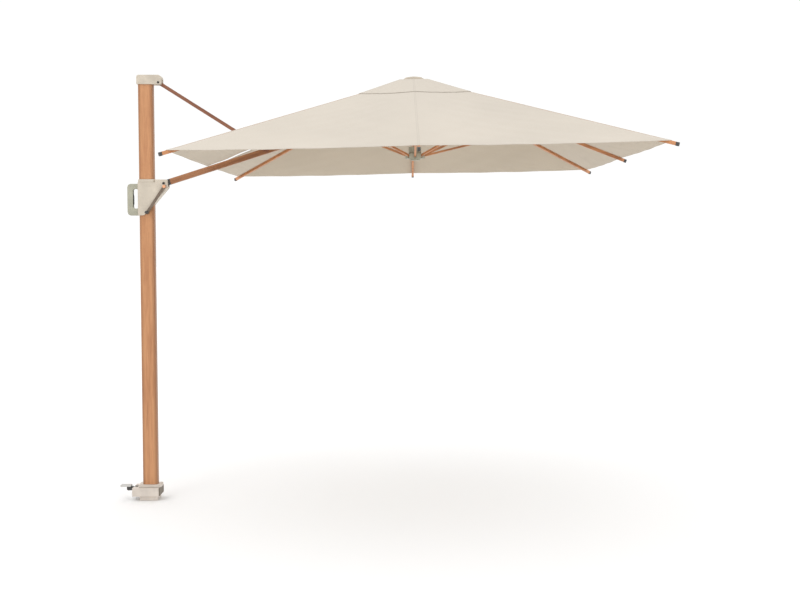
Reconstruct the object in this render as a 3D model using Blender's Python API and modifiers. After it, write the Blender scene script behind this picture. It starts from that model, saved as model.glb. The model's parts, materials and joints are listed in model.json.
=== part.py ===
"""Cantilever parasol: a foot, a turning mast, a sliding boom carrier and a folding square canopy.

The frame has its origin on the mast axis at the underside of the foot plate. +Z is up and
+X points from the mast to the canopy. All lengths are in metres and all angles in degrees.
"""
import math

import bmesh
import bpy
from mathutils import Matrix, Vector

OBJECT_NAME = "cantilever_parasol"
FIT = 0.0003
SMOOTH_ANGLE = 35.0

# mast, a rectangular tube that turns on the spindle of the foot
MAST_W = 0.106
MAST_D = 0.065
MAST_CORNER = 0.010
MAST_WALL = 0.004
MAST_BOTTOM = 0.0960
MAST_TOP = 3.0460
SPINDLE_R = 0.022
SPINDLE_TOP = 0.400

# foot
PLATE_T = 0.010
PLATE_GAP = 0.004
COVER_X0 = -0.123
COVER_X1 = 0.071
COVER_Y = 0.080
COVER_LOW = 0.032
COVER_TOP = 0.094
COVER_WALL = 0.004
PLINTH_X0 = -0.070
PLINTH_X1 = 0.060
PLINTH_Y = 0.066
SOCKET_TOP = 0.114
SOCKET_X = 0.083
SOCKET_Y = 0.056
PEDAL_PIVOT = (-0.108, 0.076)
PEDAL_HALF = 0.018

# pivots of the four-bar carrier, as (x, z)
STRUT_PIVOT = (0.0965, 3.042)
BOOM_PIVOT = (0.128, 2.319)
CROSS_PIVOT = (0.870, 2.555)
HUB_PIVOT = (1.940, 2.896)

# boom and strut
BOOM_HALF_Y = 0.018
BOOM_HALF_Z = 0.0205
BOOM_WALL = 0.002
BOOM_START = 0.045
BOOM_STOP = 0.050
STRUT_HALF_Y = 0.014
STRUT_HALF_Z = 0.0125
FORK_REACH = 0.095
FORK_IN = 0.0205
FORK_OUT = 0.0265

# slider
SLIDER_BOTTOM = 2.086
SLIDER_TOP = 2.3265
SLIDER_BACK = -0.061
SLIDER_FRONT = 0.0635
SLIDER_HALF_Y = 0.043
NOSE_X = 0.156
NOSE_TOP = 2.346
NOSE_LOW = 2.282
COLLAR_TOP = 2.348
CLEVIS_HALF = 0.0182
GRIP_OUT = -0.142
GRIP_IN = -0.101
GRIP_HALF_Y = 0.019
GRIP_TOP = 2.316
GAP_LOW = 2.137
GAP_HIGH = 2.279
LEVER_Z = 2.256
CRANK_AXIS = (0.134, 2.295)
CRANK_END = (0.010, 2.108)
CRANK_Y = -0.0505

# canopy frame, held on a hub that is tipped a little about Y
CANOPY_TILT = -1.11
HALF_SPAN = 1.500
HINGE_R = 0.085
HINGE_W = 0.146
TIP_W = -0.445
MID_TIP_R = 1.530
CORNER_TIP_R = 2.165
TIP_CAP = 0.014
CROWN_HALF = 0.012
RIB_HALF_Y = 0.008
RIB_HALF_Z = 0.011
RUNNER_R = 0.056
RUNNER_W = -0.380
RUNNER_NECK = 0.066
MID_STRETCH_AT = 0.860
CORNER_STRETCH_AT = 0.831
STRETCH_DROP = 0.019
STRETCH_HALF = 0.007
STRETCH_EYE = 0.0075
CORD_U = 0.035
CORD_R = 0.0025
MID_RIBS = (-90.0, 0.0, 90.0)
CORNER_RIBS = (-135.0, -45.0, 45.0, 135.0)

# fabric
CLOTH_T = 0.0012
CLOTH_LIFT = 0.0148
VENT_OPEN = 0.330
VENT_EDGE = 0.386
VENT_FLAT = 0.100
VENT_TOP_W = 0.1615
VENT_SLOPE = 0.416
SLOT_HALF = 0.042
SLOT_INNER = 1.050

BEIGE = (0.62, 0.57, 0.48)
STONE = (0.50, 0.48, 0.40)
WOOD = (0.52, 0.29, 0.13)
DARK_WOOD = (0.24, 0.10, 0.055)
BRONZE = (0.33, 0.16, 0.075)
DARK = (0.045, 0.045, 0.048)
TAUPE = (0.17, 0.14, 0.11)
LIGHT_GREY = (0.55, 0.54, 0.52)
CLOTH = (0.74, 0.68, 0.58)


def clear_scene():
    """Remove every object that the scene starts with."""
    for obj in list(bpy.data.objects):
        bpy.data.objects.remove(obj, do_unlink=True)


def make_collection(name):
    """A collection of its own under the scene."""
    group = bpy.data.collections.new(name)
    bpy.context.scene.collection.children.link(group)
    return group


def make_material(name, colour, roughness, metallic=0.0):
    """A Principled material with one colour and finish."""
    mat = bpy.data.materials.new(name)
    mat.use_nodes = True
    shader = mat.node_tree.nodes["Principled BSDF"]
    shader.inputs["Base Color"].default_value = (*colour, 1.0)
    shader.inputs["Roughness"].default_value = roughness
    shader.inputs["Metallic"].default_value = metallic
    return mat


def prism(outline, low, high, across="Y"):
    """A closed prism: an outline in the XZ plane pushed along Y, or in the XY plane along Z."""
    bm = bmesh.new()
    if across == "Y":
        ring = [bm.verts.new((a, low, b)) for a, b in outline]
        push = Vector((0.0, high - low, 0.0))
    else:
        ring = [bm.verts.new((a, b, low)) for a, b in outline]
        push = Vector((0.0, 0.0, high - low))
    face = bm.faces.new(ring)
    moved = bmesh.ops.extrude_face_region(bm, geom=[face])["geom"]
    top = [v for v in moved if isinstance(v, bmesh.types.BMVert)]
    bmesh.ops.translate(bm, verts=top, vec=push)
    bmesh.ops.recalc_face_normals(bm, faces=bm.faces)
    return bm


def block(x0, x1, y0, y1, z0, z1):
    """A box between two corners."""
    return prism([(x0, z0), (x1, z0), (x1, z1), (x0, z1)], y0, y1)


def rod(x, z, radius, y0, y1, sides=20):
    """A round bar along Y through (x, z)."""
    turns = [math.tau * i / sides for i in range(sides)]
    return prism([(x + radius * math.cos(t), z + radius * math.sin(t)) for t in turns], y0, y1)


def post(x, y, radius, z0, z1, sides=32):
    """A round bar along Z through (x, y)."""
    turns = [math.tau * i / sides for i in range(sides)]
    ring = [(x + radius * math.cos(t), y + radius * math.sin(t)) for t in turns]
    return prism(ring, z0, z1, "Z")


def rounded(half_a, half_b, radius, steps=4):
    """The outline of a rectangle with round corners, centred on the origin."""
    points = []
    for k, (sa, sb) in enumerate(((1, 1), (-1, 1), (-1, -1), (1, -1))):
        for i in range(steps + 1):
            t = math.radians(90.0 * k + 90.0 * i / steps)
            points.append((
                sa * (half_a - radius) + radius * math.cos(t),
                sb * (half_b - radius) + radius * math.sin(t),
            ))
    return points


def link(x0, x1, radius, half, steps=8):
    """The outline of a bar along X from a round end at x0 to a square end at x1."""
    points = [(x1, -half), (x1, half), (x0 + radius, half)]
    for i in range(1, steps):
        t = math.radians(90.0 + 180.0 * i / steps)
        points.append((x0 + radius + radius * math.cos(t), radius * math.sin(t)))
    points.append((x0 + radius, -half))
    return points


def capsule(length, radius, half, steps=8):
    """The outline of a link with a round eye at x = 0 and another at x = length."""
    wrap = math.degrees(math.asin(min(1.0, half / radius)))
    points = []
    for i in range(steps + 1):
        t = math.radians(wrap + (360.0 - 2.0 * wrap) * i / steps)
        points.append((radius * math.cos(t), radius * math.sin(t)))
    for i in range(steps + 1):
        t = math.radians(180.0 + wrap + (360.0 - 2.0 * wrap) * i / steps)
        points.append((length + radius * math.cos(t), radius * math.sin(t)))
    return points


def turned(bm, angle, axis="Z"):
    """The same shape turned about one of its own axes."""
    bmesh.ops.transform(bm, matrix=Matrix.Rotation(math.radians(angle), 4, axis), verts=bm.verts)
    return bm


def as_mesh(bm, name):
    """A mesh made from a bmesh, which is then let go."""
    mesh = bpy.data.meshes.new(name)
    bm.to_mesh(mesh)
    bm.free()
    return mesh


def combine(name, base, adds=(), cuts=()):
    """One closed mesh: the base joined with every added shape, less every cut shape."""
    body = bpy.data.objects.new(name + "_raw", as_mesh(base, name + "_raw"))
    bpy.context.scene.collection.objects.link(body)
    tools = []
    for operation, shapes in (("UNION", adds), ("DIFFERENCE", cuts)):
        for shape in shapes:
            tool = bpy.data.objects.new(name + "_tool", as_mesh(shape, name + "_tool"))
            bpy.context.scene.collection.objects.link(tool)
            modifier = body.modifiers.new(operation.lower(), "BOOLEAN")
            modifier.operation = operation
            modifier.solver = "EXACT"
            modifier.object = tool
            tools.append(tool)
    bpy.context.view_layer.update()
    graph = bpy.context.evaluated_depsgraph_get()
    mesh = bpy.data.meshes.new_from_object(body.evaluated_get(graph))
    for obj in [body, *tools]:
        bpy.data.objects.remove(obj, do_unlink=True)
    mesh.name = name
    return mesh


def part(name, mesh, mat, parent=None, bevel=0.0, segments=1):
    """A named node in the object's collection, hung on an empty, with its edges broken."""
    own = mesh.copy()
    own.name = name
    own.materials.clear()
    own.materials.append(mat)
    for face in own.polygons:
        face.use_smooth = True
    own.set_sharp_from_angle(angle=math.radians(SMOOTH_ANGLE))
    obj = bpy.data.objects.new(name, own)
    bpy.data.collections[OBJECT_NAME].objects.link(obj)
    obj.parent = parent
    if bevel > 0.0:
        edge = obj.modifiers.new("edge", "BEVEL")
        edge.width = bevel
        edge.segments = segments
        edge.limit_method = "ANGLE"
        edge.angle_limit = math.radians(50.0)
        edge.harden_normals = False
    return obj


def empty(name, location, parent=None, turn=(0.0, 0.0, 0.0)):
    """An empty that carries the pieces of one body and stands on its joint axis."""
    obj = bpy.data.objects.new(name, None)
    obj.empty_display_size = 0.05
    bpy.data.collections[OBJECT_NAME].objects.link(obj)
    obj.location = location
    obj.rotation_euler = [math.radians(a) for a in turn]
    obj.parent = parent
    return obj


def make_foot():
    """The foot plate, its cover, the end panel and the spindle the mast turns on."""
    holes = [post(x, y, 0.0055, -0.01, 0.02, 16) for x in (-0.050, 0.040) for y in (-0.048, 0.048)]
    inset = COVER_WALL + PLATE_GAP
    plate = combine(
        "foot_plate",
        block(
            PLINTH_X0 + inset, PLINTH_X1 - inset, -PLINTH_Y + inset, PLINTH_Y - inset, 0.0, PLATE_T,
        ),
        cuts=holes,
    )
    part("foot_plate", plate, make_material("foot_plate_steel", (0.30, 0.30, 0.31), 0.45, 0.9))
    wall = COVER_WALL
    cover = combine(
        "foot_cover",
        block(COVER_X0, COVER_X1, -COVER_Y, COVER_Y, COVER_LOW, COVER_TOP),
        adds=[block(PLINTH_X0, PLINTH_X1, -PLINTH_Y, PLINTH_Y, 0.0005, COVER_LOW + wall)],
        cuts=[
            block(COVER_X0 + wall, COVER_X1 - wall, -COVER_Y + wall, COVER_Y - wall,
                  COVER_LOW + wall, COVER_TOP - wall),
            block(PLINTH_X0 + wall, PLINTH_X1 - wall, -PLINTH_Y + wall, PLINTH_Y - wall,
                  -0.02, COVER_LOW + 2.0 * wall),
            post(0.0, 0.0, SPINDLE_R + 0.003, 0.05, 0.20),
            block(-0.150, -0.094, -0.0215, 0.0215, 0.058, 0.120),
        ],
    )
    part("foot_cover", cover, make_material("foot_cover_paint", BEIGE, 0.5), bevel=0.003, segments=2)
    panel = as_mesh(
        block(COVER_X1 + FIT, COVER_X1 + 0.007, -0.074, 0.074, COVER_LOW + 0.003, 0.0930),
        "foot_end_panel",
    )
    part("foot_end_panel", panel, make_material("foot_end_panel_plastic", TAUPE, 0.6), bevel=0.002)
    tube = combine(
        "spindle",
        post(0.0, 0.0, SPINDLE_R, PLATE_T + FIT, SPINDLE_TOP),
        adds=[post(0.0, 0.0, 0.045, PLATE_T + FIT, 0.018)],
        cuts=[post(0.0, 0.0, SPINDLE_R - 0.003, PLATE_T + 0.003, SPINDLE_TOP + 0.1)],
    )
    part("spindle", tube, make_material("spindle_steel", (0.4, 0.4, 0.4), 0.35, 0.9))


def make_pedal():
    """The foot-operated turning lock: a short lever and its tread."""
    x, z = PEDAL_PIVOT
    carrier = empty("pedal_axis", (x, 0.0, z))
    outline = [
        (0.011, -0.007), (0.011, 0.007), (-0.020, 0.013), (-0.030, 0.016), (-0.068, 0.016),
        (-0.068, -0.006), (-0.058, -0.012), (-0.024, -0.011),
    ]
    lever = as_mesh(prism(outline, -PEDAL_HALF, PEDAL_HALF), "pedal_lever")
    dark = make_material("pedal_lever_plastic", DARK, 0.5)
    part("pedal_lever", lever, dark, carrier, 0.002, 2)
    tread = as_mesh(block(-0.115, -0.036, -0.026, 0.026, 0.016 + FIT, 0.028), "pedal_tread")
    pale = make_material("pedal_tread_rubber", LIGHT_GREY, 0.8)
    part("pedal_tread", tread, pale, carrier, 0.003, 2)


def make_mast():
    """The mast tube, the socket at its bottom, the cap on its top and the cap's bolt."""
    axis = empty("mast_axis", (0.0, 0.0, 0.0))
    outer = rounded(MAST_W / 2, MAST_D / 2, MAST_CORNER)
    inner = rounded(MAST_W / 2 - MAST_WALL, MAST_D / 2 - MAST_WALL, MAST_CORNER - MAST_WALL)
    tube = combine(
        "mast",
        prism(outer, MAST_BOTTOM, MAST_TOP, "Z"),
        cuts=[prism(inner, MAST_BOTTOM - 0.1, MAST_TOP + 0.1, "Z")],
    )
    part("mast", tube, make_material("mast_wood_finish", WOOD, 0.5), axis)
    hole = rounded(MAST_W / 2 + FIT, MAST_D / 2 + FIT, MAST_CORNER)
    socket = combine(
        "mast_socket",
        prism(rounded(SOCKET_X, SOCKET_Y, 0.020), COVER_TOP + 0.0005, SOCKET_TOP, "Z"),
        cuts=[prism(hole, 0.0, 0.3, "Z")],
    )
    part("mast_socket", socket, make_material("mast_socket_paint", BEIGE, 0.5), axis, 0.002, 2)
    ax, az = STRUT_PIVOT
    outline = [
        (-0.0615, 3.030), (0.1185, 3.028), (0.1185, 3.074), (0.112, 3.089), (0.098, 3.097),
        (-0.047, 3.097), (-0.057, 3.093), (-0.0615, 3.083),
    ]
    cap = combine(
        "mast_cap",
        prism(outline, -0.041, 0.041),
        cuts=[
            prism(hole, 2.9, MAST_TOP + 0.003, "Z"),
            block(ax - 0.019, 0.140, -0.0152, 0.0152, 3.0, 3.066),
            rod(ax, az, 0.0044, -0.06, 0.06),
        ],
    )
    part("mast_cap", cap, make_material("mast_cap_plastic", BEIGE, 0.5), axis, 0.002, 2)
    bolt = combine(
        "strut_bolt",
        rod(ax, az, 0.0040, -0.0435, 0.0435),
        adds=[rod(ax, az, 0.0075, -0.0445, -0.0413), rod(ax, az, 0.0075, 0.0413, 0.0445)],
    )
    part("strut_bolt", bolt, make_material("strut_bolt_steel", DARK, 0.4, 0.8), axis)
    return axis


def make_strut(axis):
    """The strut between the mast cap and the boom, with the fork that straddles the boom."""
    ax, az = STRUT_PIVOT
    px, pz = CROSS_PIVOT
    length = math.hypot(px - ax, pz - az)
    pitch = math.degrees(math.atan2(az - pz, px - ax))
    frame = empty("strut_axis", (ax, 0.0, az), axis, (0.0, pitch, 0.0))
    end = length - FORK_REACH
    bar = combine(
        "strut",
        prism(link(-STRUT_HALF_Z, end, STRUT_HALF_Z, STRUT_HALF_Z), -STRUT_HALF_Y, STRUT_HALF_Y),
        cuts=[
            block(0.030, end + 0.1, -STRUT_HALF_Y + 0.002, STRUT_HALF_Y - 0.002,
                  -STRUT_HALF_Z + 0.002, STRUT_HALF_Z - 0.002),
            rod(0.0, 0.0, 0.0044, -0.1, 0.1),
        ],
    )
    part("strut", bar, make_material("strut_finish", DARK_WOOD, 0.5), frame)
    sides = []
    for sign in (-1.0, 1.0):
        low, high = sorted((sign * FORK_IN, sign * FORK_OUT))
        flat = [(length - x, z) for x, z in link(-0.016, 0.094, 0.016, 0.0125)]
        sides.append(prism(flat, low, high))
        low, high = sorted((sign * (FORK_OUT - 0.001), sign * 0.0310))
        sides.append(rod(length, 0.0, 0.0095, low, high))
    fork = combine(
        "strut_fork",
        block(end + FIT, end + 0.016, -FORK_OUT, FORK_OUT, -0.0124, 0.0124),
        adds=[
            block(end - 0.060, end + 0.010, -STRUT_HALF_Y + 0.0024, STRUT_HALF_Y - 0.0024,
                  -STRUT_HALF_Z + 0.0024, STRUT_HALF_Z - 0.0024),
            *sides,
        ],
    )
    part("strut_fork", fork, make_material("strut_fork_metal", DARK_WOOD, 0.45, 0.3), frame)


def make_slider(axis):
    """The boom carrier that slides on the mast, with its grip, collar and boom bolt."""
    sx, sz = BOOM_PIVOT
    frame = empty("slider_axis", (0.0, 0.0, sz), axis)
    shift = -sz
    outline = [
        (SLIDER_BACK, SLIDER_BOTTOM), (-0.016, SLIDER_BOTTOM + 0.002), (0.020, 2.130),
        (NOSE_X - 0.008, NOSE_LOW - 0.002), (NOSE_X, NOSE_LOW + 0.008), (NOSE_X, NOSE_TOP - 0.008),
        (NOSE_X - 0.008, NOSE_TOP), (SLIDER_FRONT, NOSE_TOP), (SLIDER_FRONT, SLIDER_TOP),
        (SLIDER_BACK, SLIDER_TOP),
    ]
    lowered = [(x, z + shift) for x, z in outline]
    hole = rounded(MAST_W / 2 + 0.0005, MAST_D / 2 + 0.0005, MAST_CORNER)
    housing = combine(
        "slider_housing",
        prism(lowered, -SLIDER_HALF_Y, SLIDER_HALF_Y),
        cuts=[
            prism(hole, -1.0, 1.0, "Z"),
            block(sx - 0.026, NOSE_X + 0.05, -CLEVIS_HALF, CLEVIS_HALF, -0.0225, 0.1),
            rod(sx, 0.0, 0.0064, -0.1, 0.1),
        ],
    )
    plastic = make_material("slider_housing_plastic", BEIGE, 0.5)
    part("slider_housing", housing, plastic, frame, 0.0015, 2)
    collar = combine(
        "slider_collar",
        prism(rounded(0.0610, 0.0405, 0.016), SLIDER_TOP + FIT + shift, COLLAR_TOP + shift, "Z"),
        cuts=[prism(hole, -1.0, 1.0, "Z")],
    )
    part("slider_collar", collar, make_material("slider_collar_plastic", BEIGE, 0.5), frame, 0.0015)
    low, high = GRIP_OUT, SLIDER_BACK - FIT
    outer = [
        (high, SLIDER_BOTTOM), (low + 0.022, SLIDER_BOTTOM), (low + 0.006, SLIDER_BOTTOM + 0.008),
        (low, SLIDER_BOTTOM + 0.026), (low, GRIP_TOP - 0.026), (low + 0.006, GRIP_TOP - 0.008),
        (low + 0.022, GRIP_TOP), (high, GRIP_TOP),
    ]
    gap = [
        (-0.0655, GAP_LOW + 0.006), (-0.0715, GAP_LOW), (GRIP_IN + 0.008, GAP_LOW),
        (GRIP_IN, GAP_LOW + 0.008), (GRIP_IN, GAP_HIGH - 0.008), (GRIP_IN + 0.008, GAP_HIGH),
        (-0.0715, GAP_HIGH), (-0.0655, GAP_HIGH - 0.006),
    ]
    grip = combine(
        "grip_handle",
        prism([(x, z + shift) for x, z in outer], -GRIP_HALF_Y, GRIP_HALF_Y),
        cuts=[
            prism([(x, z + shift) for x, z in gap], -0.1, 0.1),
            block(GRIP_IN - 0.014, GRIP_IN + 0.001, -0.0120, 0.0120,
                  LEVER_Z - 0.108 + shift, LEVER_Z + 0.012 + shift),
        ],
    )
    part("grip_handle", grip, make_material("grip_handle_plastic", STONE, 0.6), frame, 0.002, 2)
    pivot = empty("lever_axis", (GRIP_IN - 0.006, 0.0, LEVER_Z + shift), frame)
    outline = [
        (-0.003, 0.003), (0.003, 0.003), (0.0045, -0.004), (0.0105, -0.030),
        (0.0105, -0.085), (0.0065, -0.098), (0.0015, -0.098), (0.0015, -0.030), (-0.003, -0.005),
    ]
    lever = as_mesh(prism(outline, -0.0088, 0.0088), "release_lever")
    part("release_lever", lever, make_material("release_lever_plastic", DARK, 0.5), pivot, 0.0008)
    bolt = combine(
        "boom_bolt",
        rod(sx, 0.0, 0.0060, -0.0450, 0.0450),
        adds=[rod(sx, 0.0, 0.0090, -0.0465, -0.0433), rod(sx, 0.0, 0.0090, 0.0433, 0.0465)],
    )
    part("boom_bolt", bolt, make_material("boom_bolt_steel", DARK, 0.4, 0.8), frame)
    return frame


def make_crank(frame):
    """The folded winding crank on the side of the slider: boss, arm and knob."""
    cx, cz = CRANK_AXIS
    ex, ez = CRANK_END
    length = math.hypot(ex - cx, ez - cz)
    pitch = -math.degrees(math.atan2(ez - cz, ex - cx))
    axis = empty("crank_axis", (cx, 0.0, cz - BOOM_PIVOT[1]), frame, (0.0, pitch, 0.0))
    boss = combine(
        "crank_boss",
        rod(0.0, 0.0, 0.0060, -0.0640, -SLIDER_HALF_Y - FIT, 24),
        adds=[
            rod(0.0, 0.0, 0.0115, -0.0660, CRANK_Y - 0.0083, 24),
            rod(0.0, 0.0, 0.0105, CRANK_Y + FIT, -SLIDER_HALF_Y - FIT, 24),
        ],
    )
    part("crank_boss", boss, make_material("crank_boss_plastic", (0.75, 0.36, 0.17), 0.45), axis)
    arm = combine(
        "crank_arm",
        prism(capsule(length, 0.0135, 0.0100), CRANK_Y - 0.008, CRANK_Y),
        cuts=[rod(0.0, 0.0, 0.0063, -0.1, 0.1, 24), rod(length, 0.0, 0.0043, -0.1, 0.1)],
    )
    part("crank_arm", arm, make_material("crank_arm_metal", TAUPE, 0.4, 0.4), axis)
    knob = combine(
        "crank_knob",
        rod(length, 0.0, 0.0105, -0.0960, CRANK_Y - 0.0083, 24),
        adds=[
            rod(length, 0.0, 0.0040, -0.0700, CRANK_Y + 0.001),
            rod(length, 0.0, 0.0065, CRANK_Y + FIT, CRANK_Y + 0.0030),
        ],
    )
    part("crank_knob", knob, make_material("crank_knob_plastic", DARK, 0.5), axis)


def make_boom(frame):
    """The boom tube with an eye fitting at each end and the cross pin for the strut."""
    sx, sz = BOOM_PIVOT
    hx, hz = HUB_PIVOT
    px, pz = CROSS_PIVOT
    length = math.hypot(hx - sx, hz - sz)
    cross = math.hypot(px - sx, pz - sz)
    pitch = -math.degrees(math.atan2(hz - sz, hx - sx))
    axis = empty("boom_axis", (sx, 0.0, 0.0), frame, (0.0, pitch, 0.0))
    bend = math.atan2(pz - sz, px - sx) - math.atan2(hz - sz, hx - sx)
    cx, cz = cross * math.cos(bend), cross * math.sin(bend)
    inner_y = BOOM_HALF_Y - BOOM_WALL
    inner_z = BOOM_HALF_Z - BOOM_WALL
    stop = length - BOOM_STOP
    tube = combine(
        "boom",
        block(BOOM_START, stop, -BOOM_HALF_Y, BOOM_HALF_Y, -BOOM_HALF_Z, BOOM_HALF_Z),
        cuts=[
            block(0.0, length + 0.1, -inner_y, inner_y, -inner_z, inner_z),
            rod(cx, cz, 0.0054, -0.1, 0.1),
        ],
    )
    part("boom", tube, make_material("boom_finish", BRONZE, 0.5), axis)
    pin = as_mesh(rod(cx, cz, 0.0050, -0.0198, 0.0198), "cross_pin")
    part("cross_pin", pin, make_material("cross_pin_steel", DARK, 0.4, 0.8), axis)
    plug_y = inner_y - FIT
    plug_z = inner_z - FIT
    foot = combine(
        "boom_foot",
        prism(link(-0.0205, BOOM_START - FIT, 0.0205, 0.0205), -0.0177, 0.0177),
        adds=[block(BOOM_START - 0.01, BOOM_START + 0.050, -plug_y, plug_y, -plug_z, plug_z)],
        cuts=[rod(0.0, 0.0, 0.0064, -0.1, 0.1)],
    )
    part("boom_foot", foot, make_material("boom_foot_plastic", (0.12, 0.09, 0.07), 0.5), axis)
    flat = [(length - x, z) for x, z in link(-0.0165, BOOM_STOP - FIT, 0.0165, 0.0165)]
    head = combine(
        "boom_head",
        prism(flat, -0.0145, 0.0145),
        adds=[block(stop - 0.050, stop + 0.01, -plug_y, plug_y, -plug_z, plug_z)],
        cuts=[rod(length, 0.0, 0.0054, -0.1, 0.1)],
    )
    part("boom_head", head, make_material("boom_head_plastic", (0.12, 0.09, 0.07), 0.5), axis)


def make_hub():
    """The hub on the boom's end with the crown that holds the ribs, and the finial."""
    frame = empty("hub_axis", (HUB_PIVOT[0], 0.0, HUB_PIVOT[1]), None, (0.0, CANOPY_TILT, 0.0))
    hub = combine(
        "hub_block",
        block(-0.028, 0.046, -0.031, 0.031, -0.022, HINGE_W - CROWN_HALF - 0.0005),
        cuts=[
            block(-0.1, 0.026, -0.0152, 0.0152, -0.1, 0.034),
            rod(0.0, 0.0, 0.0054, -0.1, 0.1),
        ],
    )
    part("hub_block", hub, make_material("hub_block_plastic", DARK, 0.5), frame, 0.001)
    bolt = combine(
        "hub_bolt",
        rod(0.0, 0.0, 0.0050, -0.0335, 0.0335),
        adds=[rod(0.0, 0.0, 0.0085, -0.0345, -0.0313), rod(0.0, 0.0, 0.0085, 0.0313, 0.0345)],
    )
    part("hub_bolt", bolt, make_material("hub_bolt_steel", DARK, 0.4, 0.8), frame)
    cuts = []
    pins = []
    for angle in MID_RIBS + CORNER_RIBS:
        cuts.append(turned(block(0.068, 0.130, -0.0085, 0.0085, HINGE_W - 0.05, HINGE_W + 0.05),
                           angle))
        pins.append(turned(rod(HINGE_R, HINGE_W, 0.0025, -0.0120, 0.0120, 10), angle))
    disc = combine(
        "crown_raw",
        post(0.0, 0.0, 0.100, HINGE_W - CROWN_HALF, HINGE_W + CROWN_HALF, 64),
        cuts=cuts,
    )
    whole = bmesh.new()
    whole.from_mesh(disc)
    crown = combine("crown", whole, adds=pins)
    part("crown", crown, make_material("crown_plastic", DARK, 0.5), frame)
    base = VENT_TOP_W + 0.0015
    knob = combine(
        "finial",
        post(0.0, 0.0, 0.0735, base, base + 0.014, 48),
        adds=[post(0.0, 0.0, 0.0620, base + 0.001, base + 0.021, 48),
              post(0.0, 0.0, 0.0380, base + 0.002, base + 0.0255, 48)],
    )
    part("finial", knob, make_material("finial_plastic", BEIGE, 0.5), frame, 0.002, 2)
    return frame


def make_runner(frame):
    """The lower hub that slides under the crown, and the lift cord it hangs on."""
    cuts = []
    for angle in MID_RIBS + CORNER_RIBS:
        cuts.append(turned(block(0.0465, 0.130, -0.0075, 0.0075, RUNNER_W - 0.06, RUNNER_W + 0.06),
                           angle))
    axis = empty("runner_axis", (0.0, 0.0, RUNNER_W), frame)
    body = combine(
        "runner",
        post(0.0, 0.0, 0.070, RUNNER_W - 0.018, RUNNER_W + 0.016, 64),
        adds=[
            post(0.0, 0.0, 0.034, RUNNER_W - 0.030, RUNNER_W - 0.010, 48),
            post(0.0, 0.0, 0.045, RUNNER_W - 0.010, RUNNER_W + RUNNER_NECK, 48),
        ],
        cuts=cuts,
    )
    body.transform(Matrix.Translation((0.0, 0.0, -RUNNER_W)))
    part("runner", body, make_material("runner_plastic", STONE, 0.5), axis)
    top = -0.022 - FIT
    low = RUNNER_W + RUNNER_NECK + FIT
    cord = as_mesh(post(CORD_U, 0.0, CORD_R, low, top, 10), "lift_cord")
    part("lift_cord", cord, make_material("lift_cord_nylon", (0.15, 0.14, 0.13), 0.8), frame)


def make_rib(label, angle, tip_r, stretch_at, frame):
    """One rib with its tip cap and the stretcher that holds it up from the runner."""
    rise = HINGE_W - TIP_W
    reach = tip_r - HINGE_R
    length = math.hypot(reach, rise)
    pitch = math.degrees(math.atan2(rise, reach))
    cos_a = math.cos(math.radians(angle))
    sin_a = math.sin(math.radians(angle))
    at = (HINGE_R * cos_a, HINGE_R * sin_a, HINGE_W)
    axis = empty("rib_axis_" + label, at, frame, (0.0, pitch, angle))
    stop = length - TIP_CAP
    bar = combine(
        "rib_" + label,
        prism(link(-RIB_HALF_Z, stop, RIB_HALF_Z, RIB_HALF_Z), -RIB_HALF_Y, RIB_HALF_Y),
        adds=[
            block(stretch_at - 0.012, stretch_at + 0.012, -0.0112, -0.0074, -0.0265, 0.0070),
            block(stretch_at - 0.012, stretch_at + 0.012, 0.0074, 0.0112, -0.0265, 0.0070),
            rod(stretch_at, -STRETCH_DROP, 0.0020, -0.0090, 0.0090, 10),
        ],
        cuts=[rod(0.0, 0.0, 0.0029, -0.1, 0.1, 12)],
    )
    part("rib_" + label, bar, make_material("rib_finish_" + label, DARK_WOOD, 0.5), axis)
    tip = as_mesh(block(stop + FIT, length + 0.004, -0.0092, 0.0092, -0.0122, 0.0112), "tip")
    part("rib_tip_" + label, tip, make_material("rib_tip_plastic_" + label, DARK, 0.6), axis,
         0.002, 2)
    turn = math.radians(pitch)
    knee_r = HINGE_R + stretch_at * math.cos(turn) - STRETCH_DROP * math.sin(turn)
    knee_w = HINGE_W - stretch_at * math.sin(turn) - STRETCH_DROP * math.cos(turn)
    span = math.hypot(knee_r - RUNNER_R, knee_w - RUNNER_W)
    lean = 180.0 - math.degrees(math.atan2(knee_w - RUNNER_W, knee_r - RUNNER_R))
    at = (knee_r * cos_a, knee_r * sin_a, knee_w)
    axis = empty("stretcher_axis_" + label, at, frame, (0.0, lean, angle))
    link_mesh = combine(
        "stretcher_" + label,
        prism(capsule(span, STRETCH_EYE, STRETCH_HALF), -STRETCH_HALF, STRETCH_HALF),
        cuts=[rod(0.0, 0.0, 0.0024, -0.1, 0.1, 12), rod(span, 0.0, 0.0024, -0.1, 0.1, 12)],
    )
    part("stretcher_" + label, link_mesh, make_material("stretcher_finish_" + label, DARK_WOOD, 0.5),
         axis)


def cloth_height(half):
    """Height of the cover's underside over a square ring of the given half width."""
    slope = (HINGE_W - TIP_W) / (MID_TIP_R - HINGE_R)
    return HINGE_W - slope * (half - HINGE_R) + CLOTH_LIFT


def square_shell(rings):
    """A closed four-sided shell through square rings given as (half width, height)."""
    bm = bmesh.new()
    layers = []
    for half, height in rings:
        corners = ((half, half), (-half, half), (-half, -half), (half, -half))
        layers.append([bm.verts.new((x, y, height)) for x, y in corners])
    for lower, upper in zip(layers, layers[1:] + layers[:1]):
        for i in range(4):
            j = (i + 1) % 4
            bm.faces.new((lower[i], lower[j], upper[j], upper[i]))
    bmesh.ops.recalc_face_normals(bm, faces=bm.faces)
    return bm


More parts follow.
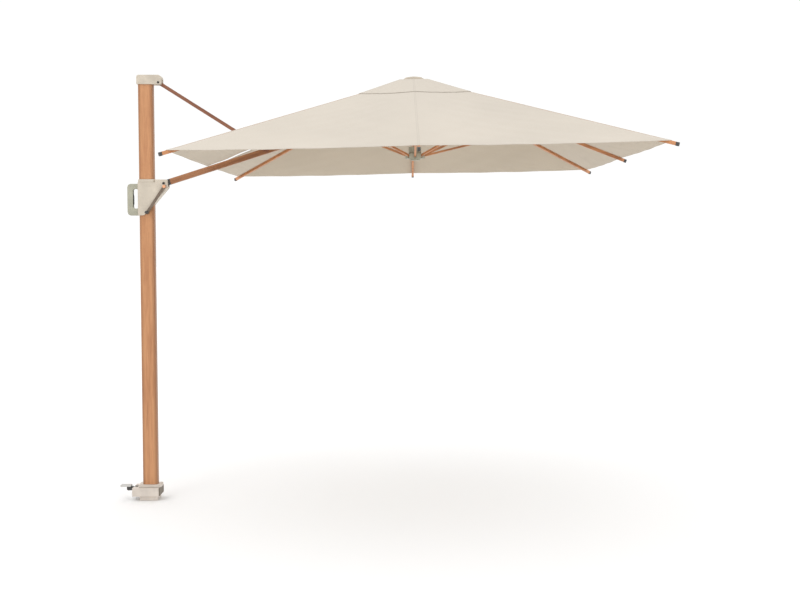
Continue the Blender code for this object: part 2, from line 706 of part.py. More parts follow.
def make_cloth(frame):
    """The square cover with its vent opening and mast-side slot, and the vent's own top."""
    low_in = cloth_height(VENT_OPEN)
    low_out = cloth_height(HALF_SPAN)
    shell = square_shell([
        (VENT_OPEN, low_in), (HALF_SPAN, low_out),
        (HALF_SPAN, low_out + CLOTH_T), (VENT_OPEN, low_in + CLOTH_T),
    ])
    cover = combine(
        "canopy_cover",
        shell,
        cuts=[block(-HALF_SPAN - 0.1, -SLOT_INNER, -SLOT_HALF, SLOT_HALF, -1.0, 1.0)],
    )
    part("canopy_cover", cover, make_material("canopy_cover_fabric", CLOTH, 0.85), frame)
    edge_w = VENT_TOP_W - VENT_SLOPE * (VENT_EDGE - VENT_FLAT)
    top = prism(rounded(VENT_FLAT, VENT_FLAT, 0.002, 1), VENT_TOP_W - CLOTH_T, VENT_TOP_W, "Z")
    skirt = square_shell([
        (VENT_FLAT - 0.004, VENT_TOP_W - CLOTH_T), (VENT_EDGE, edge_w - CLOTH_T),
        (VENT_EDGE, edge_w), (VENT_FLAT - 0.004, VENT_TOP_W),
    ])
    vent = combine("vent_top", top, adds=[skirt])
    part("vent_top", vent, make_material("vent_top_fabric", CLOTH, 0.85), frame)


def build():
    """Build the whole parasol."""
    clear_scene()
    make_collection(OBJECT_NAME)
    make_foot()
    make_pedal()
    mast = make_mast()
    make_strut(mast)
    slider = make_slider(mast)
    make_crank(slider)
    make_boom(slider)
    hub = make_hub()
    make_runner(hub)
    for number, angle in enumerate(MID_RIBS, 1):
        make_rib("mid_%d" % number, angle, MID_TIP_R, MID_STRETCH_AT, hub)
    for number, angle in enumerate(CORNER_RIBS, 1):
        make_rib("corner_%d" % number, angle, CORNER_TIP_R, CORNER_STRETCH_AT, hub)
    make_cloth(hub)


build()
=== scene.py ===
"""Looks for the cantilever parasol: fabric cover, finishes, floor, light and camera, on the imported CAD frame."""
import json
import math

import bpy
import numpy as np
from mathutils import Matrix, Vector


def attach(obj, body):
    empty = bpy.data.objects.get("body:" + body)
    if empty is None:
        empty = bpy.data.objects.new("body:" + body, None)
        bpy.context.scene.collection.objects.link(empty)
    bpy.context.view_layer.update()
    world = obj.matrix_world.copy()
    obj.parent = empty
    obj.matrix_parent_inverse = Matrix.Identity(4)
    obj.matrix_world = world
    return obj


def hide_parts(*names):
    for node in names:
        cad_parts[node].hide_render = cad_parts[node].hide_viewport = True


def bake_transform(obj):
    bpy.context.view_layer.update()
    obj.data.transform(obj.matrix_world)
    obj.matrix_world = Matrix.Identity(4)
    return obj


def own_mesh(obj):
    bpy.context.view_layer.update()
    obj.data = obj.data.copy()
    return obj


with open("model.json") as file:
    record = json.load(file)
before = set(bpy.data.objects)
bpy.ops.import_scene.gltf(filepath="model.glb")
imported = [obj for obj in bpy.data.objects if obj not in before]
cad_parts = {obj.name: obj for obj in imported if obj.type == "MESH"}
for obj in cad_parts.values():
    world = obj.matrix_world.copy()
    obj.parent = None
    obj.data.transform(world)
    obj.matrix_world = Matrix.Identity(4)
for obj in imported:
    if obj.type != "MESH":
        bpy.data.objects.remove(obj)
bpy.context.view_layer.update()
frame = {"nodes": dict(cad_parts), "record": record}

NODES = frame["nodes"]

# ---- dimensions repeated from the CAD source, in metres and degrees
HUB = Vector((1.940, 0.0, 2.896))
TILT = math.radians(-1.11)
HINGE_R, HINGE_W = 0.085, 0.146
MID_TIP_R, CORNER_TIP_R, TIP_W = 1.530, 2.165, -0.445
HALF_SPAN = 1.500
VENT_OPEN, VENT_EDGE, VENT_FLAT, VENT_TOP = 0.330, 0.386, 0.100, 0.1615
SLOT_HALF, SLOT_START, SLOT_FULL = 0.042, 1.035, 1.075
CORD_U, CORD_TOP, CORD_LOW = 0.035, -0.0225, -0.3137

# ---- shape of the cloth
CLOTH_THICK = 0.0010
HEM_WIDTH, HEM_EXTRA = 0.026, 0.0011
VENT_HEM = 0.024
BINDING_WIDTH, BINDING_EXTRA = 0.018, 0.0009
# LIFT is the cover's height over the rib axes, VENT_GAP the air under the vent flap's edge
LIFT, VENT_GAP = 0.0126, 0.0016
SAG = 0.018
SAG_MAST = 0.016
SAG_GROWTH, SAG_ROUND = 0.8, 0.85
EDGE_START, EDGE_RELIEF = 1.2, 0.60
RIPPLE, RIPPLE_ROWS, RIPPLE_COLS = 0.0016, 34.0, 9.0
RIPPLE_FADE = 0.8

# ---- mesh of the cloth
ROWS, VENT_ROWS, PATCH_ROWS = 56, 18, 8
COLS_PER_UNIT = 26
PATCH_COLS = 64
PATCH_HOLE = 0.012
NORMAL_STEP = 1e-3
BINDING_PLACES = (0.006, 0.0125)
SLOT_RINGS = (0.0, 0.004, 0.010, 0.020, 0.030)
STEP_WIDTH = 0.0012

# ---- stitching, in metres and per metre
SEAM_FOLD, SEAM_STITCH_AT, STITCH_HALF = 0.007, 0.0055, 0.0012
STITCHES_PER_M = 160.0
PUCKERS_PER_M, PUCKER_FADE = 330.0, 28.0
HEM_STITCHES_AT, HEM_STITCH_HALF = (0.003, 0.021), 0.0011

# sectors of the cover: rib label, the rib's place on the perimeter, and where the sector starts and ends
# the perimeter runs 0..8 in half sides, from the near mast-side corner towards +X
SECTORS = (
    ("corner_1", 8.0, 7.0, 8.5), ("mid_1", 1.0, 0.5, 1.5), ("corner_2", 2.0, 1.5, 2.5),
    ("mid_2", 3.0, 2.5, 3.5), ("corner_3", 4.0, 3.5, 4.5), ("mid_3", 5.0, 4.5, 5.5),
    ("corner_4", 6.0, 5.5, 7.0),
)
MAST_CORNERS = (6.0, 8.0)
MAST_SEAM = 7.0
SEAM_SHIFT = 1e-6

CANOPY_MATRIX = Matrix.Translation(HUB) @ Matrix.Rotation(TILT, 4, "Y")


def perimeter(p):
    """Point on the unit square's edge at perimeter place p."""
    p = p % 8.0
    corners = ((-1, -1), (0, -1), (1, -1), (1, 0), (1, 1), (0, 1), (-1, 1), (-1, 0), (-1, -1))
    i = int(math.floor(p))
    t = p - i
    a, b = corners[i], corners[i + 1]
    return a[0] * (1 - t) + b[0] * t, a[1] * (1 - t) + b[1] * t


def slot_half(m):
    """Half width of the mast-side slot at ring m, zero inside its end."""
    t = (m - SLOT_START) / (SLOT_FULL - SLOT_START)
    t = min(1.0, max(0.0, t))
    return SLOT_HALF * math.sin(0.5 * math.pi * t)


def rib_gap(p):
    """How far p lies between two neighbouring ribs, 0..1, and whether it is the mast side."""
    p = p % 8.0
    if p >= MAST_CORNERS[0]:
        return (p - MAST_CORNERS[0]) / 2.0, True
    return p % 1.0, False


def mid_height(m):
    """Height of the cover over a middle rib at ring m."""
    slope = (HINGE_W - TIP_W) / (MID_TIP_R - HINGE_R)
    return HINGE_W - slope * (m - HINGE_R) + LIFT


def corner_height(m):
    """Height of the cover over a corner rib at ring m."""
    slope = (HINGE_W - TIP_W) / (CORNER_TIP_R - HINGE_R)
    return HINGE_W - slope * (m * math.sqrt(2.0) - HINGE_R) + LIFT


def cover_point(m, p):
    """A point of the cover's underside in the canopy frame."""
    x, y = perimeter(p)
    pp = p % 8.0
    toward_corner = abs(pp - 2.0 * round(pp / 2.0))
    q = 1.0 - toward_corner
    u, v = x * m, y * m
    if pp > MAST_CORNERS[0]:
        s = slot_half(m)
        side = 1.0 if pp < MAST_SEAM else -1.0
        v = side * (s + (m - s) * abs(pp - MAST_SEAM))
    w = mid_height(m) * (1 - q) + corner_height(m) * q
    t, mast_side = rib_gap(p)
    depth = (SAG_MAST if mast_side else SAG) * (m / HALF_SPAN) ** SAG_GROWTH
    edge = 1.0 - EDGE_RELIEF * max(0.0, (m - EDGE_START) / (HALF_SPAN - EDGE_START)) ** 2
    bow = (math.sin(math.pi * t)) ** SAG_ROUND if 0.0 < t < 1.0 else 0.0
    w -= depth * edge * bow
    ripple = RIPPLE * math.sin(m * RIPPLE_ROWS + 3.0 * pp) * math.sin(RIPPLE_COLS * math.pi * t) * bow
    w += ripple * min(1.0, m / RIPPLE_FADE)
    return Vector((u, v, w))


def vent_point(m, p):
    """A point of the vent top's underside, which runs straight out to just above the cover."""
    x, y = perimeter(p)
    span = (m - VENT_FLAT) / (VENT_EDGE - VENT_FLAT)
    start = VENT_TOP - CLOTH_THICK
    stop = cover_point(VENT_EDGE, p).z + CLOTH_THICK + VENT_GAP
    return Vector((x * m, y * m, start + (stop - start) * span))


def sheet_mesh(name, point, rings, places, thick, seam_places=()):
    """A cloth piece with real thickness through point(m, p), with smooth normals from the whole surface."""
    rows, cols = len(rings), len(places)
    e = NORMAL_STEP

    def normal(m, p, side):
        a = point(min(m + e, rings[-1]), p) - point(max(m - e, rings[0]), p)
        lo, hi = p - e, p + e
        if side < 0:
            lo = p
        if side > 0:
            hi = p
        b = point(m, hi) - point(m, lo)
        n = a.cross(b)
        return n.normalized() if n.length > 0 else Vector((0, 0, 1))

    top, low, norm = [], [], []
    for m in rings:
        for k, p in enumerate(places):
            side = 0
            if any(abs(p - s) < 2.0 * SEAM_SHIFT for s in seam_places):
                side = -1 if k == 0 else 1
            n = normal(m, p, side)
            n = n if n.z > 0 else -n
            base = point(m, p)
            t = thick(m, p)
            low.append(base)
            top.append(base + n * t)
            norm.append(n)
    verts = [CANOPY_MATRIX @ v for v in low + top]
    turn = CANOPY_MATRIX.to_3x3()
    norm = [turn @ n for n in norm]
    shift = rows * cols
    faces, loops_n, uvs = [], [], []

    def uv(i):
        i = i % shift
        return places[i % cols], rings[i // cols]

    for r in range(rows - 1):
        for c in range(cols - 1):
            a, b = r * cols + c, r * cols + c + 1
            d, f = (r + 1) * cols + c, (r + 1) * cols + c + 1
            up = [shift + a, shift + d, shift + f, shift + b]
            down = [a, b, f, d]
            for quad, sign in ((up, 1.0), (down, -1.0)):
                faces.append(quad)
                loops_n += [norm[i % shift] * sign for i in quad]
                uvs += [uv(i) for i in quad]
    rim = []
    for c in range(cols - 1):
        rim.append((c, c + 1))
        rim.append(((rows - 1) * cols + c + 1, (rows - 1) * cols + c))
    for r in range(rows - 1):
        rim.append(((r + 1) * cols, r * cols))
        rim.append((r * cols + cols - 1, (r + 1) * cols + cols - 1))
    for a, b in rim:
        quad = [a, shift + a, shift + b, b]
        faces.append(quad)
        n = (verts[shift + a] - verts[a]).cross(verts[b] - verts[a])
        n = n.normalized() if n.length > 0 else Vector((0, 0, 1))
        loops_n += [n] * 4
        uvs += [uv(i) for i in quad]
    mesh = bpy.data.meshes.new(name)
    mesh.from_pydata([tuple(v) for v in verts], [], faces)
    layer = mesh.uv_layers.new(name="cloth")
    layer.data.foreach_set("uv", np.array(uvs, np.float32).ravel())
    mesh.polygons.foreach_set("use_smooth", [True] * len(mesh.polygons))
    mesh.normals_split_custom_set([tuple(n) for n in loops_n])
    mesh.update()
    obj = bpy.data.objects.new(name, mesh)
    bpy.context.scene.collection.objects.link(obj)
    area = sum(mesh.polygons[i].area for i in range(0, 2 * (rows - 1) * (cols - 1), 2))
    return obj, area


def smooth_rings(start, stop, count, extra=()):
    """Ring values from start to stop with some extra ones, in order."""
    rings = [start + (stop - start) * i / (count - 1) for i in range(count)]
    rings = [m for m in rings if all(abs(m - x) > 0.004 for x in extra)] + list(extra)
    return sorted(rings)


# ---- materials
def new_material(name):
    mat = bpy.data.materials.new(name)
    mat.use_nodes = True
    tree = mat.node_tree
    return mat, tree, tree.nodes["Principled BSDF"]


def node(tree, kind, **values):
    n = tree.nodes.new(kind)
    for key, value in values.items():
        if hasattr(n, key):
            setattr(n, key, value)
        else:
            n.inputs[key.replace("_", " ")].default_value = value
    return n


def coords(tree, scale=(1, 1, 1), rotation=(0, 0, 0), output="Object"):
    tex = node(tree, "ShaderNodeTexCoord")
    mapping = node(tree, "ShaderNodeMapping")
    mapping.vector_type = "POINT"
    mapping.inputs["Scale"].default_value = scale
    mapping.inputs["Rotation"].default_value = rotation
    tree.links.new(tex.outputs[output], mapping.inputs["Vector"])
    return mapping.outputs["Vector"]


def noise(tree, vector, scale, detail=4.0, roughness=0.55):
    n = node(tree, "ShaderNodeTexNoise")
    n.inputs["Scale"].default_value = scale
    n.inputs["Detail"].default_value = detail
    n.inputs["Roughness"].default_value = roughness
    tree.links.new(vector, n.inputs["Vector"])
    return n.outputs["Fac"]


def ramp(tree, fac, stops):
    n = node(tree, "ShaderNodeValToRGB")
    while len(n.color_ramp.elements) < len(stops):
        n.color_ramp.elements.new(0.5)
    for element, (place, colour) in zip(n.color_ramp.elements, stops):
        element.position = place
        element.color = (*colour, 1.0) if len(colour) == 3 else colour
    tree.links.new(fac, n.inputs["Fac"])
    return n.outputs["Color"]


def mix(tree, fac, a, b, mode="MIX"):
    n = node(tree, "ShaderNodeMix")
    n.data_type = "RGBA"
    n.blend_type = mode
    for value, sock in ((fac, n.inputs["Factor"]), (a, n.inputs["A"]), (b, n.inputs["B"])):
        if isinstance(value, bpy.types.NodeSocket):
            tree.links.new(value, sock)
        else:
            sock.default_value = (*value, 1.0) if isinstance(value, tuple) else value
    for out in n.outputs:
        if out.type == "RGBA":
            return out


def math_node(tree, operation, a, b=0.0, c=None):
    n = node(tree, "ShaderNodeMath")
    n.operation = operation
    for i, value in enumerate((a, b) if c is None else (a, b, c)):
        if isinstance(value, bpy.types.NodeSocket):
            tree.links.new(value, n.inputs[i])
        else:
            n.inputs[i].default_value = value
    return n.outputs[0]


def bump(tree, shader, height, strength, distance):
    n = node(tree, "ShaderNodeBump")
    n.inputs["Strength"].default_value = strength
    n.inputs["Distance"].default_value = distance
    tree.links.new(height, n.inputs["Height"])
    tree.links.new(n.outputs["Normal"], shader.inputs["Normal"])


def wood_material(name, along, light, mid, dark, roughness=0.5, turn=0.0, shaded_sides=False):
    """Printed wood grain that runs along one axis, after turning by turn about Y, with optional painted shade
    towards the sides in X.
    """
    mat, tree, shader = new_material(name)
    stretch = {"X": (1.6, 26.0, 26.0), "Y": (26.0, 1.6, 26.0), "Z": (26.0, 26.0, 1.6)}[along]
    base = coords(tree, rotation=(0.0, turn, 0.0))
    scaled = node(tree, "ShaderNodeMapping")
    scaled.inputs["Scale"].default_value = stretch
    tree.links.new(base, scaled.inputs["Vector"])
    grain = scaled.outputs["Vector"]
    broad = noise(tree, grain, 1.0, 6.0, 0.62)
    fine = noise(tree, grain, 5.5, 3.0, 0.6)
    fac = math_node(tree, "MULTIPLY_ADD", fine, 0.35, math_node(tree, "MULTIPLY", broad, 0.72))
    colour = ramp(tree, fac, [(0.30, dark), (0.47, mid), (0.60, light), (0.78, mid)])
    if shaded_sides:
        # painted shade: the colour darkens towards the left and right sides, beyond about 3 cm from the middle in
        # X
        split = node(tree, "ShaderNodeSeparateXYZ")
        tree.links.new(coords(tree), split.inputs[0])
        edge = math_node(tree, "ABSOLUTE", split.outputs["X"])
        edge = math_node(tree, "MULTIPLY_ADD", edge, 60.0, -1.75)
        clamp = node(tree, "ShaderNodeClamp")
        tree.links.new(edge, clamp.inputs["Value"])
        shade = math_node(tree, "MULTIPLY", clamp.outputs[0], 0.55)
        colour = mix(tree, shade, colour, tuple(0.5 * c for c in mid))
    tree.links.new(colour, shader.inputs["Base Color"])
    rough = math_node(tree, "MULTIPLY_ADD", fine, 0.22, roughness - 0.11)
    tree.links.new(rough, shader.inputs["Roughness"])
    bump(tree, shader, fac, 0.18, 0.0006)
    return mat


def plastic_material(name, colour, roughness=0.5, grain=900.0, strength=0.12, tone=0.10):
    """Moulded plastic: a fine spark-eroded texture, and slight tone and gloss variation."""
    mat, tree, shader = new_material(name)
    here = coords(tree)
    cloud = noise(tree, here, 9.0, 3.0, 0.5)
    light = tuple(min(1.0, c * (1.0 + tone)) for c in colour)
    deep = tuple(c * (1.0 - tone) for c in colour)
    tree.links.new(ramp(tree, cloud, [(0.35, deep), (0.65, light)]), shader.inputs["Base Color"])
    fine = noise(tree, here, grain, 2.0, 0.5)
    scuff = noise(tree, here, 45.0, 5.0, 0.7)
    rough = math_node(tree, "MULTIPLY_ADD", scuff, 0.25, roughness - 0.125)
    tree.links.new(rough, shader.inputs["Roughness"])
    bump(tree, shader, fine, strength, 0.0004)
    return mat


def metal_material(name, colour, roughness=0.35, metallic=0.85):
    """Blackened or plated metal with fine brushing and slight stains."""
    mat, tree, shader = new_material(name)
    here = coords(tree)
    stain = noise(tree, here, 30.0, 4.0, 0.6)
    deep = tuple(c * 0.75 for c in colour)
    tree.links.new(ramp(tree, stain, [(0.35, deep), (0.65, colour)]), shader.inputs["Base Color"])
    shader.inputs["Metallic"].default_value = metallic
    brushed = noise(tree, coords(tree, scale=(40.0, 40.0, 900.0)), 1.0, 2.0)
    rough = math_node(tree, "MULTIPLY_ADD", brushed, 0.2, roughness - 0.1)
    tree.links.new(rough, shader.inputs["Roughness"])
    bump(tree, shader, brushed, 0.06, 0.0003)
    return mat


def tone(colour, share):
    """The colour made lighter or darker."""
    return tuple(share * c for c in colour)


def cloth_material(name, colour, hem_at):
    """Woven polyester: thread weave, slight slub, seams along the ribs and a stitched hem."""
    mat, tree, shader = new_material(name)
    here = coords(tree)
    uvs = coords(tree, output="UV")
    split = node(tree, "ShaderNodeSeparateXYZ")
    tree.links.new(uvs, split.inputs[0])
    place, ring = split.outputs["X"], split.outputs["Y"]
    warp = noise(tree, coords(tree, scale=(60.0, 900.0, 60.0)), 1.0, 2.0)
    weft = noise(tree, coords(tree, scale=(900.0, 60.0, 60.0)), 1.0, 2.0)
    cloud = noise(tree, here, 1.6, 3.0, 0.5)
    base = ramp(tree, cloud, [(0.3, tone(colour, 0.955)), (0.7, tone(colour, 1.035))])
    threads = math_node(tree, "ADD", warp, weft)
    thread_tone = ramp(tree, math_node(tree, "MULTIPLY", threads, 0.5),
                       [(0.38, (0.93, 0.93, 0.93)), (0.62, (1.0, 1.0, 1.0))])
    base = mix(tree, 1.0, base, thread_tone, "MULTIPLY")
    # distance in plan from the nearest rib or the mast-side seam, which are at whole places
    near = math_node(tree, "ROUND", place)
    off = math_node(tree, "ABSOLUTE", math_node(tree, "SUBTRACT", place, near))
    off = math_node(tree, "MULTIPLY", off, ring)
    fold = math_node(tree, "LESS_THAN", off, SEAM_FOLD)
    stitch_line = math_node(tree, "COMPARE", off, SEAM_STITCH_AT, STITCH_HALF)
    dash = math_node(tree, "PINGPONG", math_node(tree, "MULTIPLY", ring, STITCHES_PER_M), 1.0)
    stitch = math_node(tree, "MULTIPLY", stitch_line, math_node(tree, "GREATER_THAN", dash, 0.35))
    base = mix(tree, math_node(tree, "MULTIPLY", fold, 0.10), base, tone(colour, 0.72))
    base = mix(tree, math_node(tree, "MULTIPLY", stitch, 0.5), base, tone(colour, 0.62))
    height = math_node(tree, "ADD", math_node(tree, "MULTIPLY", threads, 0.12), fold)
    pucker = math_node(tree, "SINE", math_node(tree, "MULTIPLY", ring, PUCKERS_PER_M))
    fade = math_node(tree, "SUBTRACT", 1.0, math_node(tree, "MULTIPLY", off, PUCKER_FADE))
    clamp = node(tree, "ShaderNodeClamp")
    tree.links.new(fade, clamp.inputs["Value"])
    pucker = math_node(tree, "MULTIPLY", math_node(tree, "MULTIPLY", pucker, clamp.outputs[0]), 0.45)
    height = math_node(tree, "ADD", height, pucker)
    rows = [math_node(tree, "COMPARE", ring, hem_at + at, HEM_STITCH_HALF) for at in HEM_STITCHES_AT]
    line = math_node(tree, "MAXIMUM", *rows)
    base = mix(tree, math_node(tree, "MULTIPLY", line, 0.35), base, tone(colour, 0.6))
    tree.links.new(base, shader.inputs["Base Color"])
    tree.links.new(math_node(tree, "MULTIPLY_ADD", threads, 0.08, 0.78), shader.inputs["Roughness"])
    shader.inputs["Sheen Weight"].default_value = 0.18
    shader.inputs["Sheen Roughness"].default_value = 0.5
    shader.inputs["Specular IOR Level"].default_value = 0.25
    bump(tree, shader, height, 0.35, 0.0009)
    return mat


def paint(obj, mat):
    if obj.data.materials:
        obj.data.materials[0] = mat
        for k in range(1, len(obj.data.materials)):
            obj.data.materials[k] = mat
    else:
        obj.data.materials.append(mat)


def paint_underside_shade(obj):
    """Give the faces that look down a darker copy of the cloth: painted shade for the cover's underside."""
    obj.data.materials.append(underside_shade_mat)
    for face in obj.data.polygons:
        if face.normal.z < -0.5:
            face.material_index = 1


CLOTH = (0.560, 0.505, 0.430)
# painted shade: a darker copy of the cloth colour, for the cover faces that look down
PAINTED_SHADE_UNDERSIDE = (0.500, 0.425, 0.325)
mats = {
    "mast_finish": wood_material("mast_wood", "Z", (0.555, 0.270, 0.122), (0.460, 0.205, 0.088),
                                 (0.310, 0.125, 0.052), 0.48, shaded_sides=True),
    "boom_finish": wood_material("boom_wood", "X", (0.360, 0.155, 0.062), (0.275, 0.110, 0.042),
                                 (0.16, 0.058, 0.022), 0.48, turn=math.radians(17.7)),
    "strut_finish": wood_material("strut_wood", "X", (0.27, 0.105, 0.050), (0.215, 0.078, 0.038),
                                  (0.12, 0.040, 0.020), 0.45, turn=math.radians(-32.3)),
    "rib_finish": wood_material("rib_wood", "X", (0.58, 0.255, 0.105), (0.46, 0.190, 0.078),
                                (0.26, 0.100, 0.045), 0.45),
    "beige_plastic": plastic_material("beige_plastic", (0.560, 0.495, 0.405), 0.48),
    "beige_paint": plastic_material("beige_casting", (0.620, 0.555, 0.490), 0.52, 420.0, 0.22),
    "stone_plastic": plastic_material("stone_plastic", (0.375, 0.365, 0.285), 0.6, 700.0, 0.25),
    "dark_plastic": plastic_material("dark_plastic", (0.050, 0.048, 0.046), 0.5, 800.0, 0.15, 0.2),
    "grey_rubber": plastic_material("grey_rubber", (0.500, 0.490, 0.470), 0.8, 600.0, 0.3, 0.1),
    "taupe_plastic": plastic_material("taupe_plastic", (0.170, 0.140, 0.105), 0.55, 700.0, 0.2),
    "taupe_metal": metal_material("taupe_metal", (0.200, 0.150, 0.110), 0.45, 0.3),
    "orange_plastic": plastic_material("orange_plastic", (0.74, 0.36, 0.19), 0.4, 900.0, 0.1),
    "dark_steel": metal_material("dark_steel", (0.065, 0.060, 0.055), 0.38),
    "bare_steel": metal_material("bare_steel", (0.46, 0.46, 0.47), 0.4),
}
cord_mat = plastic_material("lift_cord_nylon", (0.13, 0.12, 0.11), 0.75, 1500.0, 0.5, 0.25)
cloth_mat = cloth_material("cover_cloth", CLOTH, HALF_SPAN - HEM_WIDTH)
underside_shade_mat = cloth_material("cover_cloth_painted_shade_underside", PAINTED_SHADE_UNDERSIDE, HALF_SPAN - HEM_WIDTH)
vent_mat = cloth_material("vent_cloth", CLOTH, VENT_EDGE - VENT_HEM)
for row in frame["record"]["subparts"]:
    if row["material_slot"] in mats:
        paint(NODES[row["node"]], mats[row["material_slot"]])

# ---- cover and vent, one cloth piece for each rib


def gather(obj):
    """Give the piece its own copy of its mesh."""
    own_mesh(obj)


def cover_thick(m, p):
    """Thickness of the cover, with a folded hem and a binding along the slot."""
    hem = HEM_EXTRA if m > HALF_SPAN - HEM_WIDTH - 1e-6 else 0.0
    binding = 0.0
    pp = p % 8.0
    if pp > MAST_CORNERS[0] and m > SLOT_START and abs(pp - MAST_SEAM) * m < BINDING_WIDTH:
        binding = BINDING_EXTRA
    return CLOTH_THICK + max(hem, binding)


def vent_thick(m, p):
    """Thickness of the vent flap, with a folded hem."""
    return CLOTH_THICK + (HEM_EXTRA if m > VENT_EDGE - VENT_HEM - 0.0005 else 0.0)


def sector_places(start, stop):
    """Perimeter places of a sector, closer together beside the mast-side seam."""
    count = max(4, int(round((stop - start) * COLS_PER_UNIT)))
    places = [start + (stop - start) * i / count for i in range(count + 1)]
    if start == MAST_SEAM:
        places = sorted(places + [MAST_SEAM + b for b in BINDING_PLACES])
    if stop == MAST_SEAM:
        places = sorted(places + [MAST_SEAM - b for b in BINDING_PLACES])
        places[-1] = MAST_SEAM - SEAM_SHIFT
    return places


def add_gore(label, mesh_and_area, mat, node_name, shade_underside):
    """Finish one cloth piece, tie it to its rib, and hide the CAD node that it stands for."""
    obj, area = mesh_and_area
    paint(obj, mat)
    if shade_underside:
        paint_underside_shade(obj)
    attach(obj, "rib_" + label)
    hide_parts(node_name)
    gather(obj)


def crown_patch(m, p):
    """The level centre of the vent top."""
    x, y = perimeter(p)
    return Vector((x * m, y * m, VENT_TOP - CLOTH_THICK))


hem_start = HALF_SPAN - HEM_WIDTH
cover_extra = [SLOT_START + r for r in SLOT_RINGS] + [SLOT_FULL, hem_start - STEP_WIDTH, hem_start]
cover_rings = smooth_rings(VENT_OPEN, HALF_SPAN, ROWS, cover_extra)
vent_extra = [VENT_EDGE - VENT_HEM - STEP_WIDTH, VENT_EDGE - VENT_HEM]
vent_rings = smooth_rings(VENT_FLAT, VENT_EDGE, VENT_ROWS, vent_extra)
for label, rib_place, start, stop in SECTORS:
    places = sector_places(start, stop)
    gore = sheet_mesh("cover_gore_" + label, cover_point, cover_rings, places, cover_thick,
                      seam_places=(MAST_SEAM,))
    add_gore(label, gore, cloth_mat, "canopy_cover", shade_underside=True)
    flap = sheet_mesh("vent_gore_" + label, vent_point, vent_rings, places, vent_thick)
    add_gore(label, flap, vent_mat, "vent_top", shade_underside=False)

patch, area = sheet_mesh("vent_patch", crown_patch, smooth_rings(PATCH_HOLE, VENT_FLAT, PATCH_ROWS),
                         [8.0 * i / PATCH_COLS for i in range(PATCH_COLS + 1)],
                         lambda m, p: CLOTH_THICK)
paint(patch, vent_mat)
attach(patch, "hub")
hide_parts("vent_top")


# ---- lift cord between the hub and the runner
def cord_mesh(name, low, high, radius, sides=12, rows=60, lay=0.022):
    """A laid cord: three strands twisted round each other, as one tube with a lobed section."""
    verts, faces = [], []
    for r in range(rows + 1):
        w = low + (high - low) * r / rows
        twist = math.tau * (w - low) / lay
        for s in range(sides):
            a = math.tau * s / sides
            rad = radius * (0.86 + 0.14 * math.cos(3.0 * (a - twist)))
            verts.append(CANOPY_MATRIX @ Vector((CORD_U + rad * math.cos(a), rad * math.sin(a), w)))
    for r in range(rows):
        for s in range(sides):
            a, b = r * sides + s, r * sides + (s + 1) % sides
            faces.append((a, b, b + sides, a + sides))
    faces.append(tuple(reversed(range(sides))))
    faces.append(tuple(rows * sides + s for s in range(sides)))
    mesh = bpy.data.meshes.new(name)
    mesh.from_pydata([tuple(v) for v in verts], [], faces)
    mesh.polygons.foreach_set("use_smooth", [True] * len(mesh.polygons))
    obj = bpy.data.objects.new(name, mesh)
    bpy.context.scene.collection.objects.link(obj)
    return obj


cord = cord_mesh("lift_line", CORD_LOW, CORD_TOP, 0.0025)
paint(cord, cord_mat)
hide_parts("lift_cord")
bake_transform(cord)

# ---- floor, light and camera
SKY_LOW, SKY_HIGH = 1.03, 1.45
SKY_RISE = (0.20, 0.90)
FLOOR_HALF, FLOOR_Z, FLOOR_TONE = 60.0, -0.0005, 0.86
KEY_AT, KEY_AIM, KEY_SIZE, KEY_WATTS = (-3.5, -5.5, 6.5), (1.0, 0.0, 2.0), 3.5, 70.0
CAMERA_AT = (1.831, -8.166, 1.948)
CAMERA_TURN = (math.radians(86.65), 0.0, math.radians(-0.05))
LENS, SENSOR, FAR = 50.3, 36.0, 500.0


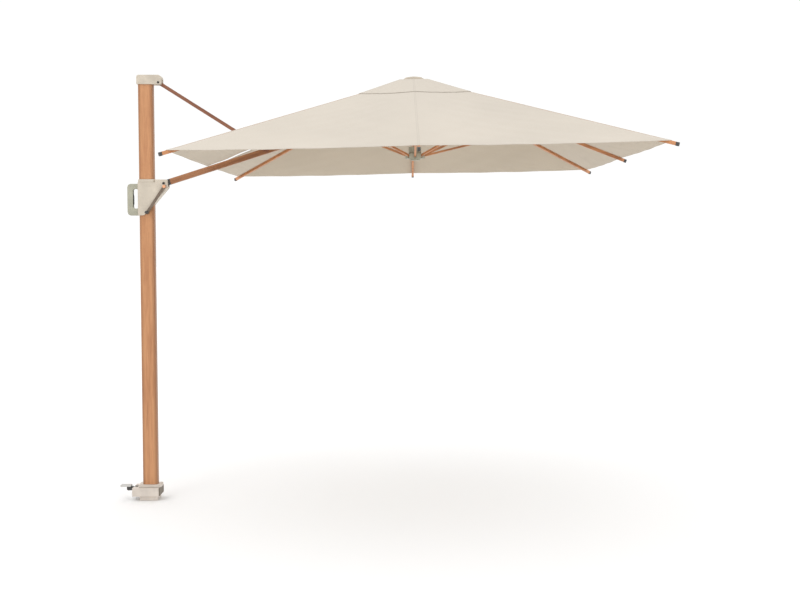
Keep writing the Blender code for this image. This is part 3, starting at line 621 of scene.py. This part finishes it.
def add_floor():
    """A plain pale floor, just under the foot."""
    h = FLOOR_HALF
    corners = [(-h, -h, FLOOR_Z), (h, -h, FLOOR_Z), (h, h, FLOOR_Z), (-h, h, FLOOR_Z)]
    mesh = bpy.data.meshes.new("floor")
    mesh.from_pydata(corners, [], [(0, 1, 2, 3)])
    floor = bpy.data.objects.new("floor", mesh)
    bpy.context.scene.collection.objects.link(floor)
    mat, _, shader = new_material("floor_pale")
    shader.inputs["Base Color"].default_value = (FLOOR_TONE, FLOOR_TONE, FLOOR_TONE, 1.0)
    shader.inputs["Roughness"].default_value = 0.9
    floor.data.materials.append(mat)


def add_sky():
    """Soft white light all round, a little stronger from above."""
    world = bpy.context.scene.world or bpy.data.worlds.new("world")
    bpy.context.scene.world = world
    world.use_nodes = True
    sky = world.node_tree
    background = sky.nodes["Background"]
    direction = sky.nodes.new("ShaderNodeTexCoord")
    parts = sky.nodes.new("ShaderNodeSeparateXYZ")
    rise = sky.nodes.new("ShaderNodeMapRange")
    rise.interpolation_type = "SMOOTHSTEP"
    rise.inputs["From Min"].default_value = SKY_RISE[0]
    rise.inputs["From Max"].default_value = SKY_RISE[1]
    rise.inputs["To Min"].default_value = SKY_LOW
    rise.inputs["To Max"].default_value = SKY_HIGH
    sky.links.new(direction.outputs["Generated"], parts.inputs[0])
    sky.links.new(parts.outputs["Z"], rise.inputs["Value"])
    sky.links.new(rise.outputs["Result"], background.inputs["Strength"])
    background.inputs["Color"].default_value = (1.0, 1.0, 1.0, 1.0)


def add_key_light():
    """One large soft lamp from the front left."""
    light = bpy.data.lights.new("key", "AREA")
    light.shape = "DISK"
    light.size = KEY_SIZE
    light.energy = KEY_WATTS
    obj = bpy.data.objects.new("key", light)
    obj.location = KEY_AT
    aim = Vector(KEY_AIM) - Vector(KEY_AT)
    obj.rotation_euler = aim.to_track_quat("-Z", "Y").to_euler()
    bpy.context.scene.collection.objects.link(obj)


def add_camera():
    data = bpy.data.cameras.new("camera")
    data.lens = LENS
    data.sensor_width = SENSOR
    data.clip_end = FAR
    camera = bpy.data.objects.new("camera", data)
    camera.location = CAMERA_AT
    camera.rotation_euler = CAMERA_TURN
    bpy.context.scene.collection.objects.link(camera)
    bpy.context.scene.camera = camera


add_floor()
add_sky()
add_key_light()
add_camera()
bpy.context.scene.view_settings.view_transform = "Standard"
